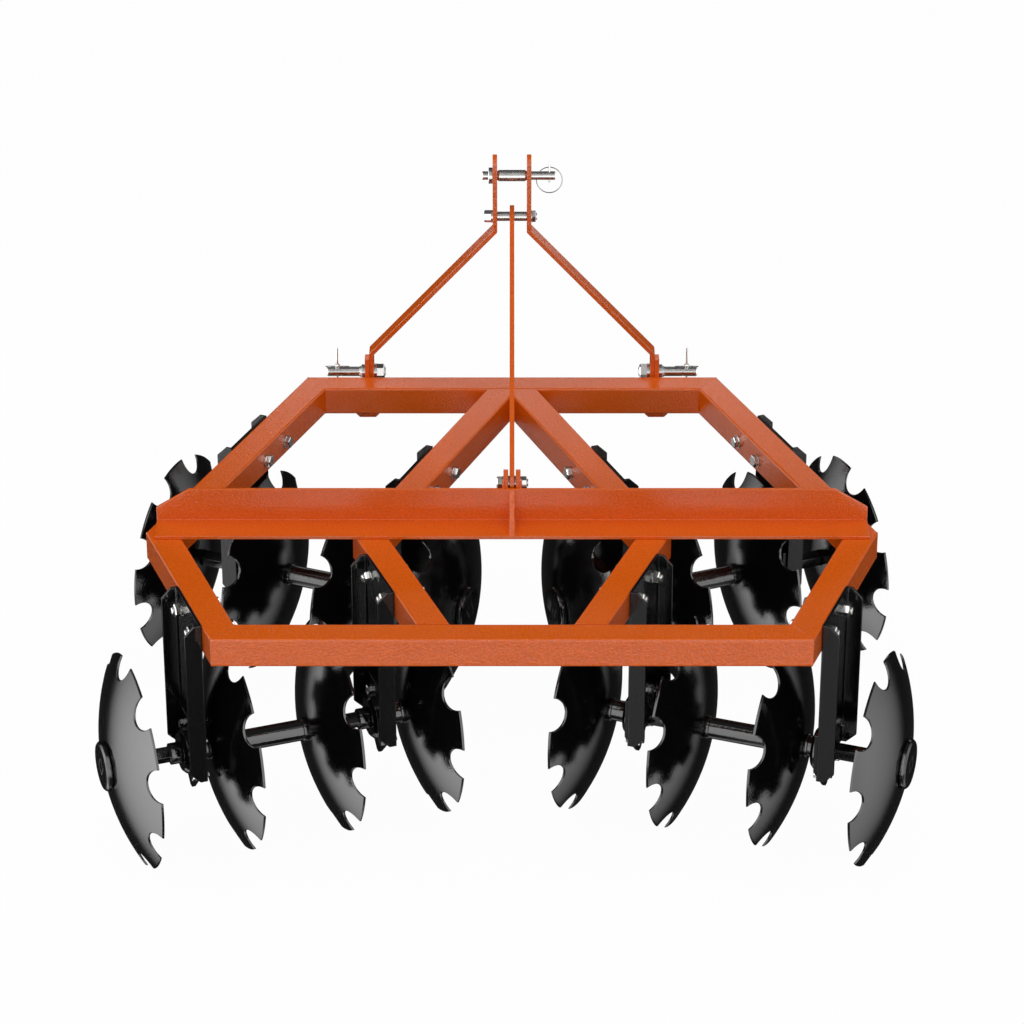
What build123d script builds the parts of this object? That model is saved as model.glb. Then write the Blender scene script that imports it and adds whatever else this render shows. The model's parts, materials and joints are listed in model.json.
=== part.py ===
"""Compact tandem disc harrow for a category 1 three-point hitch, in millimetres.

+X is the machine's right, +Y the way it travels, +Z up, and it stands on its discs at Z = 0.
"""

import os
from math import cos, radians, sin, tan

from build123d import *

# Discs and their square axle
DISC_RADIUS = 225.0
DISC_THICKNESS = 5.0
DISH_DEPTH = 56.0
DISH_RADIUS = 480.0
DISC_FLAT_RADIUS = 40.0
DISC_PITCH = 213.0
DISC_COUNT = 4
NOTCH_COUNT = 9
NOTCH_RADIUS = 35.0
NOTCH_CENTRE_RADIUS = 222.5
AXLE_SIZE = 25.4
AXLE_DROP = 339.0

# Frame, in plan about the mitre between its front and rear half. Each gang hangs from an outer and
# an inner tube, so the tubes stand a little over two disc pitches apart
TUBE = 63.5
TUBE_WALL = 6.35
FRONT_LENGTH = 750.0
REAR_LENGTH = 455.0
FRONT_ANGLE = 22.0
REAR_ANGLE = 20.0
INNER_HALF_WIDTH = 334.0
TUBE_SPACING_EXTRA = 7.0
TUBE_SPACING = 2 * DISC_PITCH + TUBE_SPACING_EXTRA
HALF_WIDTH = INNER_HALF_WIDTH + TUBE_SPACING
TUBE_TOP = DISC_RADIUS + AXLE_DROP
TUBE_BOTTOM = TUBE_TOP - TUBE

# Everything is built about the frame's middle mitres, then moved so that the origin is under the
# middle of the whole machine
ORIGIN_SHIFT = (11.7, -114.5, 0.0)

# Cross angle, its gusset and the brace lugs
ANGLE_SIZE = 80.0
ANGLE_THICKNESS = 8.0
ANGLE_INSET = 20.0
ANGLE_HALF_LENGTH = HALF_WIDTH - ANGLE_INSET
ANGLE_FRONT = 47.0
ANGLE_CUT_LENGTH = 70.0
ANGLE_CUT_HEIGHT = 43.0
PLATE = 10.0
BRACE_LUG_GAP = 16.0
BRACE_LUG_RADIUS = 28.0
BRACE_LUG_REACH = 31.0
BRACE_BOLT_Y = ANGLE_FRONT + BRACE_LUG_REACH
BRACE_BOLT_HEIGHT = 76.0
BRACE_BOLT_Z = TUBE_TOP + BRACE_BOLT_HEIGHT

# Lower hitch pins in their lugs on the front beam
LUG_BACKING = 8.0
BAR_WIDTH = 40.0
HITCH_Y = FRONT_LENGTH + LUG_BACKING + BAR_WIDTH / 2
PIN_SPREAD = 683.0
LOWER_PIN_RADIUS = 11.0
LOWER_PIN_SHOULDER_RADIUS = 16.0
LOWER_PIN_SHOULDER = 8.0
LOWER_PIN_END = 421.0
LOWER_PIN_BEVEL = 3.0
LOWER_PIN_THREAD = 22.0
LUG_OUTSIDE = PIN_SPREAD / 2 - LOWER_PIN_SHOULDER
LUG_HEIGHT = 42.0
LUG_DROP = 102.5
LUG_NOSE_CUT = 18.0
LUG_TONGUE = 30.0
LUG_TOP = TUBE_TOP + LUG_HEIGHT
LUG_BOTTOM = TUBE_TOP - LUG_DROP
LUG_BACKING_WIDTH = 52.0
LUG_CORNER = 8.0

# Mast: two bent flat bars, the top link pin, and the bolt that holds the brace between them
BAR_OUTSIDE = LUG_OUTSIDE - PLATE
MAST_HALF_GAP = 33.0
MAST_HEIGHT = 530.0
MAST_UPRIGHT = 175.0
MAST_FOOT_BEND_HEIGHT = 53.0
MAST_FOOT_DROP = 24.0
MAST_TOP = TUBE_TOP + MAST_HEIGHT
MAST_BEND = MAST_TOP - MAST_UPRIGHT
MAST_FOOT_BEND = TUBE_TOP + MAST_FOOT_BEND_HEIGHT
MAST_FOOT = TUBE_TOP - MAST_FOOT_DROP
TOP_PIN_BELOW_TOP = 49.0
TOP_PIN_Z = MAST_TOP - TOP_PIN_BELOW_TOP
TOP_PIN_RADIUS = 9.5
TOP_PIN_HEAD_END = 66.0
TOP_PIN_CLIP_END = 96.0
TOP_PIN_COLLAR_RADIUS = 18.0
TOP_PIN_COLLAR = 9.0
TOP_SLEEVE_RADIUS = 12.7
TOP_SLEEVE_HALF = 27.0
MAST_BOLT_ABOVE_BEND = 28.0
MAST_BOLT_Z = MAST_BEND + MAST_BOLT_ABOVE_BEND
MAST_BOLT_RADIUS = 8.0
MAST_BOLT_HEAD_END = 53.0
MAST_BOLT_THREAD_END = 56.0
MAST_SLEEVE_RADIUS = 10.5
BRACE_DEPTH = 50.0
BRACE_SPACER_RADIUS = 15.0
BRACE_BOLT_HEAD = 14.0
BRACE_BOLT_THREAD = 16.0

# Standards: folded channels on the outer faces of the tubes, at a distance from the mitre
FRONT_STANDARD = 505.0
REAR_STANDARD = 337.0
STANDARD_WIDTH = 178.0
STANDARD_DEPTH = 37.0
STANDARD_PLATE = 6.0
STANDARD_CORNER_CUT = 21.0
STANDARD_BELOW_AXLE = 26.0

# Bearings: a shield-shaped plate with a round housing, and the collar that turns in it
SHIELD_WIDTH = 164.0
SHIELD_PLATE = 8.0
SHIELD_TOP = 77.0
SHIELD_SIDE = -10.0
SHIELD_TIP = -85.0
SHIELD_TIP_WIDTH = 12.0
HOUSING_RADIUS = 46.0
HOUSING_LENGTH = 20.0
HOUSING_BEVEL = 7.0
BEARING_LENGTH = SHIELD_PLATE + HOUSING_LENGTH

# Threaded on each square axle: journals, spools between the discs, and a cap at each end
JOURNAL_RADIUS = 20.0
JOURNAL_CLEARANCE = 0.4
COLLAR_GAP = 1.0
COLLAR_LENGTH = 22.0
STUB_LENGTH = 12.0
SPOOL_RADIUS = 22.5
SPOOL_RING_RADIUS = 25.5
SPOOL_RING = 9.0
CAP_RADIUS = 52.0
CAP_THICKNESS = 12.0
CAP_BEVEL = 4.0
HOLLOW_CAP_RADIUS = 38.0

# Longer than any hole is deep
MARGIN = 50.0


class Gang:
    """Where one gang stands, and how its discs sit on their square axle.

    The first disc is the overhang, in pitches, outside the first web. The axle's phase is in degrees,
    and each disc is keyed on it at its own number of quarter turns.
    """

    def __init__(self, name, front, right, overhang, phase, quarter_turns):
        self.name = name
        self.front = front
        self.right = right
        self.angle = FRONT_ANGLE if front else REAR_ANGLE
        self.along_tube = FRONT_STANDARD if front else REAR_STANDARD
        self.overhang = overhang
        self.phase = phase
        self.quarter_turns = quarter_turns

    @property
    def bearing_side(self):
        """The bearings all sit on the machine's left side of their webs."""
        return 1 if self.right else -1

    @property
    def web_planes(self):
        """Distances along the axle of the two tube faces that carry the standards."""
        return (0.0, TUBE_SPACING * cos(radians(self.angle)))

    @property
    def hubs(self):
        return [DISC_PITCH * (index - self.overhang) for index in range(DISC_COUNT)]

    @property
    def convex_side(self):
        """Front discs are dished inwards and rear discs outwards."""
        return 1 if self.front else -1

    def place(self, shape):
        """Put a shape made about the axle, +X inwards, in its place on the machine."""
        sign = 1 if self.front else -1
        x = -HALF_WIDTH + self.along_tube * sin(radians(self.angle))
        y = sign * self.along_tube * cos(radians(self.angle))
        placed = Pos(x, y, DISC_RADIUS) * Rot(0, 0, -sign * self.angle) * shape
        return mirror(placed, about=Plane.YZ) if self.right else placed


GANGS = [
    Gang("front_left", True, False, 0.597, 24.3, (0, 0, 3, 1)),
    Gang("front_right", True, True, 0.585, 14.2, (0, 0, 0, 2)),
    Gang("rear_left", False, False, 0.892, 34.2, (0, 2, 2, 2)),
    Gang("rear_right", False, True, 0.775, 7.0, (0, 2, 2, 2)),
]


def both_sides(shape):
    return Compound(children=[shape, mirror(shape, about=Plane.YZ)])


def solids_of(*shapes):
    """One compound of all the solids in the shapes."""
    found = []
    for shape in shapes:
        found.extend(shape.solids())
    return Compound(children=found)


def block(x, y, z):
    """A box from three pairs of limits."""
    size = (x[1] - x[0], y[1] - y[0], z[1] - z[0])
    middle = ((x[0] + x[1]) / 2, (y[0] + y[1]) / 2, (z[0] + z[1]) / 2)
    return Pos(*middle) * Box(*size)


def rod(x, radius):
    """A cylinder along X between two limits."""
    return Pos((x[0] + x[1]) / 2, 0, 0) * Rot(0, 90, 0) * Cylinder(radius, x[1] - x[0])


def slab(points, bottom, top):
    """A plan outline raised between two heights."""
    return Pos(0, 0, bottom) * extrude(make_face(Polyline(*points, close=True)), top - bottom)


def side_plate(points, x):
    """An outline of (Y, Z) points made into a plate between two X limits."""
    face = make_face(Polyline(*[(0, y, z) for y, z in points], close=True))
    return Pos(x[0], 0, 0) * extrude(face, x[1] - x[0], dir=(1, 0, 0))


def front_edge(half_width, inset, y):
    """X of a left front tube's line that lies an inset in from its outer face."""
    return -half_width + y * tan(radians(FRONT_ANGLE)) + inset / cos(radians(FRONT_ANGLE))


def rear_edge(half_width, inset, y):
    return -half_width - y * tan(radians(REAR_ANGLE)) + inset / cos(radians(REAR_ANGLE))


def middle_mitre(half_width):
    """The joint between a front and a rear tube, as a function of the inset."""
    slope = tan(radians(FRONT_ANGLE)) + tan(radians(REAR_ANGLE))
    spread = 1 / cos(radians(REAR_ANGLE)) - 1 / cos(radians(FRONT_ANGLE))

    def point(inset):
        y = inset * spread / slope
        return (front_edge(half_width, inset, y), y)

    return point


def front_corner(inset):
    return (front_edge(HALF_WIDTH, inset, FRONT_LENGTH - inset), FRONT_LENGTH - inset)


def rear_corner(inset):
    return (rear_edge(HALF_WIDTH, inset, inset - REAR_LENGTH), inset - REAR_LENGTH)


def opposite(end):
    """The same joint on the machine's right side."""

    def point(inset):
        x, y = end(inset)
        return (-x, y)

    return point


def square_tube(first_end, second_end):
    """A hollow tube whose ends are cut along the two joints."""
    outline = [first_end(0), second_end(0), second_end(TUBE), first_end(TUBE)]
    far_wall = TUBE - TUBE_WALL
    bore = [first_end(TUBE_WALL), second_end(TUBE_WALL), second_end(far_wall), first_end(far_wall)]
    return slab(outline, TUBE_BOTTOM, TUBE_TOP) - slab(bore, TUBE_BOTTOM + TUBE_WALL, TUBE_TOP - TUBE_WALL)


def inner_front_end(inset):
    """An inner front tube meets the front beam's rear face."""
    y = FRONT_LENGTH - TUBE
    return (front_edge(INNER_HALF_WIDTH, inset, y), y)


def inner_rear_end(inset):
    y = TUBE - REAR_LENGTH
    return (rear_edge(INNER_HALF_WIDTH, inset, y), y)


def frame_tubes():
    outer_mitre = middle_mitre(HALF_WIDTH)
    inner_mitre = middle_mitre(INNER_HALF_WIDTH)
    left_half = block((-HALF_WIDTH, 0), (-FRONT_LENGTH, FRONT_LENGTH), (0, TUBE_TOP))
    left = {
        "outer_tube_front": square_tube(outer_mitre, front_corner),
        "outer_tube_rear": square_tube(outer_mitre, rear_corner),
        "inner_tube_front": square_tube(inner_mitre, inner_front_end) & left_half,
        "inner_tube_rear": square_tube(inner_mitre, inner_rear_end),
    }
    tubes = {
        "front_beam": square_tube(front_corner, opposite(front_corner)),
        "rear_beam": square_tube(rear_corner, opposite(rear_corner)),
    }
    for name, tube in left.items():
        tubes[name + "_left"] = tube
        tubes[name + "_right"] = mirror(tube, about=Plane.YZ)
    return tubes


def cross_angle():
    """The angle iron across the tubes at their mitres, its upright leg at the front."""
    top = TUBE_TOP + ANGLE_SIZE
    front = ANGLE_FRONT
    upright_outline = [
        (-ANGLE_HALF_LENGTH, TUBE_TOP),
        (-ANGLE_HALF_LENGTH, top - ANGLE_CUT_HEIGHT),
        (ANGLE_CUT_LENGTH - ANGLE_HALF_LENGTH, top),
        (ANGLE_HALF_LENGTH - ANGLE_CUT_LENGTH, top),
        (ANGLE_HALF_LENGTH, top - ANGLE_CUT_HEIGHT),
        (ANGLE_HALF_LENGTH, TUBE_TOP),
    ]
    face = make_face(Polyline(*[(x, front, z) for x, z in upright_outline], close=True))
    upright = extrude(face, ANGLE_THICKNESS, dir=(0, -1, 0))
    flat = block(
        (-ANGLE_HALF_LENGTH, ANGLE_HALF_LENGTH),
        (front - ANGLE_SIZE, front),
        (TUBE_TOP, TUBE_TOP + ANGLE_THICKNESS),
    )
    return upright + flat


def centre_gusset():
    front = ANGLE_FRONT - ANGLE_THICKNESS
    rear = ANGLE_FRONT - ANGLE_SIZE
    low = TUBE_TOP + ANGLE_THICKNESS
    return side_plate([(front, low), (rear, low), (front, TUBE_TOP + ANGLE_SIZE)], (-PLATE / 2, PLATE / 2))


def brace_lugs():
    """Two ears on the front of the angle that hold the brace's lower end."""
    front = ANGLE_FRONT
    bolt_y = BRACE_BOLT_Y
    x = (BRACE_LUG_GAP / 2, BRACE_LUG_GAP / 2 + PLATE)
    shank = block(x, (front, bolt_y), (BRACE_BOLT_Z - BRACE_LUG_RADIUS, BRACE_BOLT_Z + BRACE_LUG_RADIUS))
    eye = Pos(0, bolt_y, BRACE_BOLT_Z) * rod(x, BRACE_LUG_RADIUS)
    hole = Pos(0, bolt_y, BRACE_BOLT_Z) * rod((0, MARGIN), MAST_BOLT_RADIUS)
    return both_sides(shank + eye - hole)


def brace_ends():
    """The brace's two bolt centres as (Y, Z)."""
    return (HITCH_Y, MAST_BOLT_Z), (BRACE_BOLT_Y, BRACE_BOLT_Z)


def mast_brace():
    """A flat bar on edge from the mast bolt back and down to the brace lugs."""
    upper, lower = brace_ends()
    run = Vector(0, upper[0] - lower[0], upper[1] - lower[1])
    middle = (0, (upper[0] + lower[0]) / 2, (upper[1] + lower[1]) / 2)
    slope = Vector(0, 1, 0).get_signed_angle(run, Vector(1, 0, 0))
    bar = Pos(*middle) * Rot(slope, 0, 0) * Box(PLATE, run.length, BRACE_DEPTH)
    for y, z in (upper, lower):
        bar += Pos(0, y, z) * rod((-PLATE / 2, PLATE / 2), BRACE_DEPTH / 2)
        bar -= Pos(0, y, z) * rod((-PLATE, PLATE), MAST_BOLT_RADIUS)
    return bar


def brace_bolt():
    """The bolt through the two lugs, with a spacer on each side of the brace."""
    y, z = brace_ends()[1]
    reach = BRACE_LUG_GAP / 2 + PLATE
    bolt = rod((-reach - BRACE_BOLT_HEAD, reach + BRACE_BOLT_THREAD), MAST_BOLT_RADIUS)
    for limits in ((-BRACE_LUG_GAP / 2, -PLATE / 2), (PLATE / 2, BRACE_LUG_GAP / 2)):
        bolt += rod(limits, BRACE_SPACER_RADIUS)
    return Pos(0, y, z) * bolt


def mast_bar():
    """The left flat bar of the A-frame: upright at its top and foot, sloped between."""
    inside = -MAST_HALF_GAP
    bar_inside = PLATE - BAR_OUTSIDE
    run = inside - bar_inside
    rise = MAST_BEND - MAST_FOOT_BEND
    # How much lower the bend is on the bar's inner face than on its outer one
    bend_drop = PLATE * ((run**2 + rise**2) ** 0.5 - rise) / run
    round_end = MAST_TOP - BAR_WIDTH / 2
    outline = [
        (inside, round_end),
        (inside, MAST_BEND - bend_drop),
        (bar_inside, MAST_FOOT_BEND - bend_drop),
        (bar_inside, MAST_FOOT),
        (bar_inside - PLATE, MAST_FOOT),
        (bar_inside - PLATE, MAST_FOOT_BEND),
        (inside - PLATE, MAST_BEND),
        (inside - PLATE, round_end),
    ]
    y = HITCH_Y
    face = make_face(Polyline(*[(x, y + BAR_WIDTH / 2, z) for x, z in outline], close=True))
    bar = extrude(face, BAR_WIDTH, dir=(0, -1, 0))
    bar += Pos(0, y, round_end) * rod((inside - PLATE, inside), BAR_WIDTH / 2)
    holes = [(TOP_PIN_Z, TOP_PIN_RADIUS), (MAST_BOLT_Z, MAST_BOLT_RADIUS), (TUBE_TOP, LOWER_PIN_RADIUS)]
    for z, radius in holes:
        bar -= Pos(0, y, z) * rod((-HALF_WIDTH, 0), radius)
    return bar


def hitch_lug():
    """Left lug: a backing plate on the front beam with an upright ear for the lower pin."""
    beam_front = FRONT_LENGTH
    middle = -LUG_OUTSIDE + PLATE / 2
    left = middle - LUG_BACKING_WIDTH / 2
    right = middle + LUG_BACKING_WIDTH / 2
    outline = [
        (left, TUBE_TOP - LUG_CORNER),
        (right, TUBE_TOP - LUG_CORNER),
        (right, LUG_BOTTOM + LUG_CORNER),
        (right - LUG_CORNER, LUG_BOTTOM),
        (left + LUG_CORNER, LUG_BOTTOM),
        (left, LUG_BOTTOM + LUG_CORNER),
    ]
    face = make_face(Polyline(*[(x, beam_front, z) for x, z in outline], close=True))
    backing = extrude(face, LUG_BACKING, dir=(0, 1, 0))
    nose = beam_front + LUG_BACKING + BAR_WIDTH
    ear_outline = [
        (beam_front, LUG_BOTTOM + LUG_TONGUE),
        (beam_front, LUG_TOP),
        (beam_front + LUG_TONGUE, LUG_TOP),
        (nose, LUG_TOP - LUG_NOSE_CUT),
        (nose, MAST_FOOT),
        (beam_front + LUG_BACKING, LUG_BOTTOM + LUG_TONGUE),
    ]
    ear = side_plate(ear_outline, (-LUG_OUTSIDE, -LUG_OUTSIDE + PLATE))
    hole = Pos(0, HITCH_Y, TUBE_TOP) * rod((-HALF_WIDTH, 0), LOWER_PIN_RADIUS)
    return backing + ear - hole


def lower_pin():
    """Left hitch pin with its shoulder, through the lug and the mast bar to a nut inside."""
    shoulder = rod((-PIN_SPREAD / 2, -LUG_OUTSIDE), LOWER_PIN_SHOULDER_RADIUS)
    shank = rod((-LOWER_PIN_END, LOWER_PIN_THREAD - BAR_OUTSIDE), LOWER_PIN_RADIUS)
    end = shank.edges().group_by(Axis.X)[0]
    return Pos(0, HITCH_Y, TUBE_TOP) * (chamfer(end, LOWER_PIN_BEVEL) + shoulder)


def top_link_pin():
    """The top link pin through both mast bars, with a loose sleeve between them."""
    pin = rod((-TOP_PIN_HEAD_END, TOP_PIN_CLIP_END), TOP_PIN_RADIUS)
    bar_outside = -MAST_HALF_GAP - PLATE
    collar = rod((bar_outside - TOP_PIN_COLLAR, bar_outside), TOP_PIN_COLLAR_RADIUS)
    sleeve = rod((-TOP_SLEEVE_HALF, TOP_SLEEVE_HALF), TOP_SLEEVE_RADIUS)
    return Pos(0, HITCH_Y, TOP_PIN_Z) * (pin + collar + sleeve)


def mast_bolt():
    """The bolt that clamps the mast bars on sleeves beside the brace."""
    bolt = rod((-MAST_BOLT_HEAD_END, MAST_BOLT_THREAD_END), MAST_BOLT_RADIUS)
    for limits in ((-MAST_HALF_GAP, -PLATE / 2), (PLATE / 2, MAST_HALF_GAP)):
        bolt += rod(limits, MAST_SLEEVE_RADIUS)
    return Pos(0, HITCH_Y, MAST_BOLT_Z) * bolt


def standard():
    """A folded channel about the axle: its web lies on the tube face, its flanges point outwards."""
    half = STANDARD_WIDTH / 2
    top = TUBE_TOP - DISC_RADIUS
    bottom = -STANDARD_BELOW_AXLE
    web = block((-STANDARD_PLATE, 0), (-half, half), (bottom, top))
    edge = STANDARD_DEPTH - STANDARD_CORNER_CUT
    flange_outline = [
        (0, bottom),
        (0, top),
        (-edge, top),
        (-STANDARD_DEPTH, top - STANDARD_CORNER_CUT),
        (-STANDARD_DEPTH, bottom + STANDARD_CORNER_CUT),
        (-edge, bottom),
    ]
    face = make_face(Polyline(*[(x, 0, z) for x, z in flange_outline], close=True))
    flange = extrude(face, STANDARD_PLATE, dir=(0, 1, 0))
    channel = web + Pos(0, -half, 0) * flange + Pos(0, half - STANDARD_PLATE, 0) * flange
    return channel - rod((-MARGIN, MARGIN), HOUSING_RADIUS - 10)


def bearing():
    """Shield plate and housing beside a web whose bearing face is at X = 0, made towards -X."""
    half = SHIELD_WIDTH / 2
    tip = SHIELD_TIP_WIDTH / 2
    outline = [
        (-half, SHIELD_SIDE),
        (-half, SHIELD_TOP),
        (half, SHIELD_TOP),
        (half, SHIELD_SIDE),
        (tip, SHIELD_TIP),
        (-tip, SHIELD_TIP),
    ]
    shield = side_plate(outline, (-SHIELD_PLATE, 0))
    housing = rod((-BEARING_LENGTH, 0), HOUSING_RADIUS)
    housing = chamfer(housing.edges().group_by(Axis.X)[0], HOUSING_BEVEL)
    bore = rod((-MARGIN, MARGIN), JOURNAL_RADIUS + JOURNAL_CLEARANCE)
    return shield + housing - bore


def on_standards(gang, shape):
    """A copy of the shape at each of the gang's two standards."""
    return solids_of(*[gang.place(Pos(x, 0, 0) * shape) for x in gang.web_planes])


def gang_bearings(gang):
    unit = bearing()
    if gang.bearing_side > 0:
        unit = mirror(unit, about=Plane.YZ)
    else:
        unit = Pos(-STANDARD_PLATE, 0, 0) * unit
    return on_standards(gang, unit)


def square_bore():
    return Box(4 * MARGIN, AXLE_SIZE, AXLE_SIZE)


def disc(convex_side):
    """A notched dished disc whose flat centre starts at X = 0 and faces the convex side."""
    back = -convex_side
    rim = (back * DISH_DEPTH, DISC_RADIUS)
    flat = (0, DISC_FLAT_RADIUS)
    inner_rim = (back * (DISH_DEPTH + DISC_THICKNESS), DISC_RADIUS)
    inner_flat = (back * DISC_THICKNESS, DISC_FLAT_RADIUS)
    inner_radius = DISH_RADIUS - DISC_THICKNESS
    profile = [
        Line((0, 0), flat),
        dish_arc(flat, rim, DISH_RADIUS, back),
        Line(rim, inner_rim),
        dish_arc(inner_rim, inner_flat, inner_radius, back),
        Line(inner_flat, (back * DISC_THICKNESS, 0)),
        Line((back * DISC_THICKNESS, 0), (0, 0)),
    ]
    body = revolve(make_face(profile), axis=Axis.X)
    notch = Pos(0, 0, NOTCH_CENTRE_RADIUS) * rod((-4 * MARGIN, 4 * MARGIN), NOTCH_RADIUS)
    for index in range(NOTCH_COUNT):
        body -= Rot(index * 360 / NOTCH_COUNT, 0, 0) * notch
    return body - square_bore()


def dish_arc(start, end, radius, back):
    """The arc between two (X, radius) points that bulges to the convex side."""
    first = Vector(*start)
    chord = Vector(*end) - first
    sagitta = radius - (radius**2 - (chord.length / 2) ** 2) ** 0.5
    across = Vector(-chord.Y, chord.X).normalized()
    if across.X * back > 0:
        across = across * -1
    middle = first + chord * 0.5 + across * sagitta
    return ThreePointArc(start, (middle.X, middle.Y), end)


def gang_discs(gang):
    blank = disc(gang.convex_side)
    keyed = [
        Pos(x, 0, 0) * Rot(gang.phase + 90 * turns, 0, 0) * blank
        for x, turns in zip(gang.hubs, gang.quarter_turns)
    ]
    return solids_of(*[gang.place(one) for one in keyed])


def axle_limits(gang):
    """Ends of the square axle: the outside of the two end caps."""
    first, last = gang.hubs[0], gang.hubs[-1]
    if gang.front:
        return (first - DISC_THICKNESS - CAP_THICKNESS, last + CAP_THICKNESS)
    return (first - CAP_THICKNESS, last + DISC_THICKNESS + CAP_THICKNESS)


def axle_bar(gang, beyond):
    """The square bar at the discs' phase, longer than the gang by a length at both ends."""
    start, end = axle_limits(gang)
    bar = Pos((start + end) / 2, 0, 0) * Box(end - start + 2 * beyond, AXLE_SIZE, AXLE_SIZE)
    return Rot(gang.phase, 0, 0) * bar


def gang_axle(gang):
    return gang.place(axle_bar(gang, 0))


def disc_faces(gang, index):
    """The two flat sides of one disc along the axle."""
    hub = gang.hubs[index]
    return sorted((hub, hub - gang.convex_side * DISC_THICKNESS))


def ringed_spool(start, end, ring_at_start):
    """A round spacer between two discs, or from a bearing to a disc, with a ring where it meets a disc."""
    body = rod((start, end), SPOOL_RADIUS) + rod((end - SPOOL_RING, end), SPOOL_RING_RADIUS)
    if ring_at_start:
        body += rod((start, start + SPOOL_RING), SPOOL_RING_RADIUS)
    return body


def bearing_spool(gang, web, disc_face):
    """The journal through one bearing, its collar outside and its spool up to the next disc inside."""
    if gang.bearing_side > 0:
        journal = (web - STANDARD_PLATE, web + BEARING_LENGTH + COLLAR_GAP)
        collar_length = STUB_LENGTH
    else:
        journal = (web - STANDARD_PLATE - BEARING_LENGTH - COLLAR_GAP, web)
        collar_length = COLLAR_LENGTH
    collar = rod((journal[0] - collar_length, journal[0]), SPOOL_RADIUS)
    return collar + rod(journal, JOURNAL_RADIUS) + ringed_spool(journal[1], disc_face, False)


def gang_spools(gang):
    """Everything threaded on the square axle between the discs."""
    pieces = []
    stops = [disc_faces(gang, index) for index in range(DISC_COUNT)]
    for near, far in zip(stops, stops[1:]):
        start, end = near[1], far[0]
        webs = [web for web in gang.web_planes if start < web < end]
        pieces.append(bearing_spool(gang, webs[0], end) if webs else ringed_spool(start, end, True))
    bore = axle_bar(gang, MARGIN)
    return solids_of(*[gang.place(piece - bore) for piece in pieces])


def gang_end_caps(gang):
    """Bevelled round caps that close the gang at both ends, outside the end discs."""
    start, end = axle_limits(gang)
    radii = (HOLLOW_CAP_RADIUS, CAP_RADIUS) if gang.front else (CAP_RADIUS, HOLLOW_CAP_RADIUS)
    outer = rod((start, start + CAP_THICKNESS), radii[0])
    inner = rod((end - CAP_THICKNESS, end), radii[1])
    caps = [
        chamfer(outer.edges().group_by(Axis.X)[0], CAP_BEVEL),
        chamfer(inner.edges().group_by(Axis.X)[-1], CAP_BEVEL),
    ]
    bore = axle_bar(gang, MARGIN)
    return solids_of(*[gang.place(cap - bore) for cap in caps])


def to_origin(part):
    """Move each solid of a part from the frame's middle to the shared origin."""
    solids = [Pos(*ORIGIN_SHIFT) * solid for solid in part.solids()]
    return solids[0] if len(solids) == 1 else Compound(children=solids)


def build_parts():
    parts = frame_tubes()
    parts["cross_angle"] = cross_angle()
    parts["centre_gusset"] = centre_gusset()
    parts["brace_lugs"] = brace_lugs()
    parts["mast_brace"] = mast_brace()
    parts["brace_bolt"] = brace_bolt()
    bar = mast_bar()
    parts["mast_bar_left"] = bar
    parts["mast_bar_right"] = mirror(bar, about=Plane.YZ)
    parts["hitch_lugs"] = both_sides(hitch_lug())
    pin = lower_pin()
    parts["lower_pin_left"] = pin
    parts["lower_pin_right"] = mirror(pin, about=Plane.YZ)
    parts["top_link_pin"] = top_link_pin()
    parts["mast_bolt"] = mast_bolt()
    for gang in GANGS:
        parts["standards_" + gang.name] = on_standards(gang, standard())
        parts["bearings_" + gang.name] = gang_bearings(gang)
        parts["axle_" + gang.name] = gang_axle(gang)
        parts["discs_" + gang.name] = gang_discs(gang)
        parts["spools_" + gang.name] = gang_spools(gang)
        parts["end_caps_" + gang.name] = gang_end_caps(gang)
    return {name: to_origin(part) for name, part in parts.items()}


os.makedirs("parts", exist_ok=True)
PARTS = build_parts()
whole = Compound(children=[solid for part in PARTS.values() for solid in part.solids()])
box = whole.bounding_box()
print("box from", box.min, "to", box.max, "solid volume in cubic metres", whole.volume / 1e9)
for part_name, part in PARTS.items():
    export_step(part, f"parts/{part_name}.step")
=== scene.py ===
"""Compact tandem disc harrow: sixteen notched discs in four gangs under an orange tube frame.

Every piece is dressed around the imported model, in metres, where that has it.
"""

import json
import math

import bmesh
import bpy
from mathutils import Matrix, Vector


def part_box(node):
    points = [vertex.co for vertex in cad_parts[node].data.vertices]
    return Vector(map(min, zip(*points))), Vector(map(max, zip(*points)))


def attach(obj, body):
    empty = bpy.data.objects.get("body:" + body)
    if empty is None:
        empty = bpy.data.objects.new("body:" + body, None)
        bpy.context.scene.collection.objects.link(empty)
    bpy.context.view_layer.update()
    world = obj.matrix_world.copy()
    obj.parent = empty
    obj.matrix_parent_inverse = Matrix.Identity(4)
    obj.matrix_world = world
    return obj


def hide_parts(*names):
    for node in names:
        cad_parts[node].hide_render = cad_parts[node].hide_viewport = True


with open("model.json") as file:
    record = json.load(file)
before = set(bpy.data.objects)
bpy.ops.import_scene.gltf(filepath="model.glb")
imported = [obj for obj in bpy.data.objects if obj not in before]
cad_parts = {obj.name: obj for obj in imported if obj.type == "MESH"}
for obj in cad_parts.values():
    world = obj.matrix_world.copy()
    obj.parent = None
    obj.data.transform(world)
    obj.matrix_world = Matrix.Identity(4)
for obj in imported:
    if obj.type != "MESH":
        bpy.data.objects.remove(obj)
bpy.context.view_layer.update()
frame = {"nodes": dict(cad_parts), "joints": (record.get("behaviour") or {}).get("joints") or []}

# Frame tubes: 63.5 mm square hot-formed tube, mitred at the corners and welded up.
# The corners of such tube are rounded, and the mitres show as a fine line under the coat.
# The whole frame is blasted, sprayed with orange polyester powder and baked.
MM = 0.001
TUBE_CORNER = 5.0 * MM
MITRE_EDGE = 0.7 * MM
LONG_EDGE = 120.0 * MM
ROUNDING_STEPS = 4
MERGE_DISTANCE = 0.02 * MM
FLAT_ANGLE = math.radians(0.6)
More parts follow.
